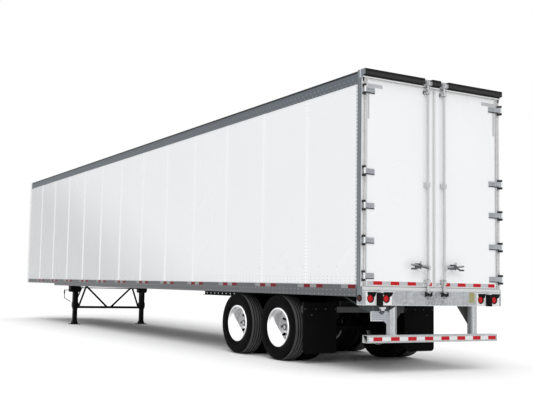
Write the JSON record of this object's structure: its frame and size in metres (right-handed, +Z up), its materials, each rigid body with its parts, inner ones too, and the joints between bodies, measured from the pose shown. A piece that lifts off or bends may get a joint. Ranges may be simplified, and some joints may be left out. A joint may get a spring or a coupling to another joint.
{
  "type": "semi trailer",
  "caption": "Long white box-body semi trailer with swing rear doors, a sliding tandem bogie on dual wheels and landing legs.",
  "frame": {"origin": "on the ground, midway along and across the trailer", "axes": "+X forward towards the nose and kingpin, +Y to the trailer's left, +Z up"},
  "size_m": [16.236, 2.591, 4.115],
  "materials": {
    "white_panel": "painted plate-core panel, gloss white",
    "rail_aluminium": "mill-finish grey extrusion",
    "top_rail_aluminium": "blue-grey anodised extrusion",
    "galvanized_steel": "hot-dip galvanized, pale grey",
    "header_steel": "dark painted cover on a galvanized beam",
    "roof_aluminium": "thin rolled sheet",
    "floor_hardwood": "laminated hardwood, oiled",
    "floor_steel": "black paint on rolled steel",
    "black_steel": "black running-gear paint",
    "tank_steel": "black painted vessel",
    "leg_steel": "black paint, satin",
    "crank_steel": "plain grey plated bar",
    "kingpin_steel": "machined forging, greased",
    "cast_fittings": "cast couplings on a plate",
    "red_lens": "clear red lens",
    "black_rubber": "moulded black rubber",
    "tyre_rubber": "matt black tyre rubber",
    "wheel_steel": "white powder-coated disc wheels"
  },
  "bodies": {
    "van": {"floor_deck": "floor_hardwood", "cross_members": "floor_steel", "bottom_rail_left": "rail_aluminium", "bottom_rail_right": "rail_aluminium", "side_wall_left": "white_panel", "side_wall_right": "white_panel", "top_rail_left": "top_rail_aluminium", "top_rail_right": "top_rail_aluminium", "front_wall": "white_panel", "roof_sheet": "roof_aluminium", "roof_bows": "roof_aluminium", "rear_post_left": "galvanized_steel", "rear_post_right": "galvanized_steel", "rear_header": "header_steel", "rear_sill": "galvanized_steel", "tail_lamps": "red_lens", "dock_block_left": "black_rubber", "dock_block_right": "black_rubber", "plate_bracket": "galvanized_steel", "underride_guard": "galvanized_steel", "coupler_plate": "floor_steel", "kingpin": "kingpin_steel", "landing_leg_left": "leg_steel", "landing_leg_right": "leg_steel", "landing_braces": "leg_steel", "landing_crank": "crank_steel", "slider_rails": "black_steel", "nose_fittings": "cast_fittings"},
    "bogie": {"bogie_frame": "black_steel", "trailing_arms": "black_steel", "air_springs": "black_rubber", "axles": "black_steel", "brake_gear": "black_steel", "air_tank": "tank_steel", "mud_flaps": "black_rubber"},
    "wheels_rear_left": {"tyres_rear_left": "tyre_rubber", "wheel_rear_left": "wheel_steel"},
    "wheels_rear_right": {"tyres_rear_right": "tyre_rubber", "wheel_rear_right": "wheel_steel"},
    "wheels_front_left": {"tyres_front_left": "tyre_rubber", "wheel_front_left": "wheel_steel"},
    "wheels_front_right": {"tyres_front_right": "tyre_rubber", "wheel_front_right": "wheel_steel"},
    "rear_door_left": {"door_left": "white_panel", "hinge_straps_left": "galvanized_steel", "lock_rod_left": "galvanized_steel"},
    "rear_door_right": {"door_right": "white_panel", "hinge_straps_right": "galvanized_steel", "lock_rod_right": "galvanized_steel"}
  },
  "joints": [
    {"name": "bogie_slide", "type": "slide", "parent": "van", "child": "bogie", "axis": [1, 0, 0], "range_m": [-0.6096, 1.3716]},
    {"name": "wheel_rear_left_spin", "type": "hinge", "parent": "bogie", "child": "wheels_rear_left", "pos_m": [-5.976, 0.9845, 0.504], "axis": [0, 1, 0], "continuous": true},
    {"name": "wheel_rear_right_spin", "type": "hinge", "parent": "bogie", "child": "wheels_rear_right", "pos_m": [-5.976, -0.9845, 0.504], "axis": [0, 1, 0], "continuous": true},
    {"name": "wheel_front_left_spin", "type": "hinge", "parent": "bogie", "child": "wheels_front_left", "pos_m": [-4.722, 0.9845, 0.504], "axis": [0, 1, 0], "continuous": true},
    {"name": "wheel_front_right_spin", "type": "hinge", "parent": "bogie", "child": "wheels_front_right", "pos_m": [-4.722, -0.9845, 0.504], "axis": [0, 1, 0], "continuous": true},
    {"name": "door_left_swing", "type": "hinge", "parent": "van", "child": "rear_door_left", "pos_m": [-8.08, 1.281, 2.5825], "axis": [0, 0, -1], "range_deg": [0, 265]},
    {"name": "door_right_swing", "type": "hinge", "parent": "van", "child": "rear_door_right", "pos_m": [-8.08, -1.281, 2.5825], "axis": [0, 0, 1], "range_deg": [0, 265]}
  ]
}
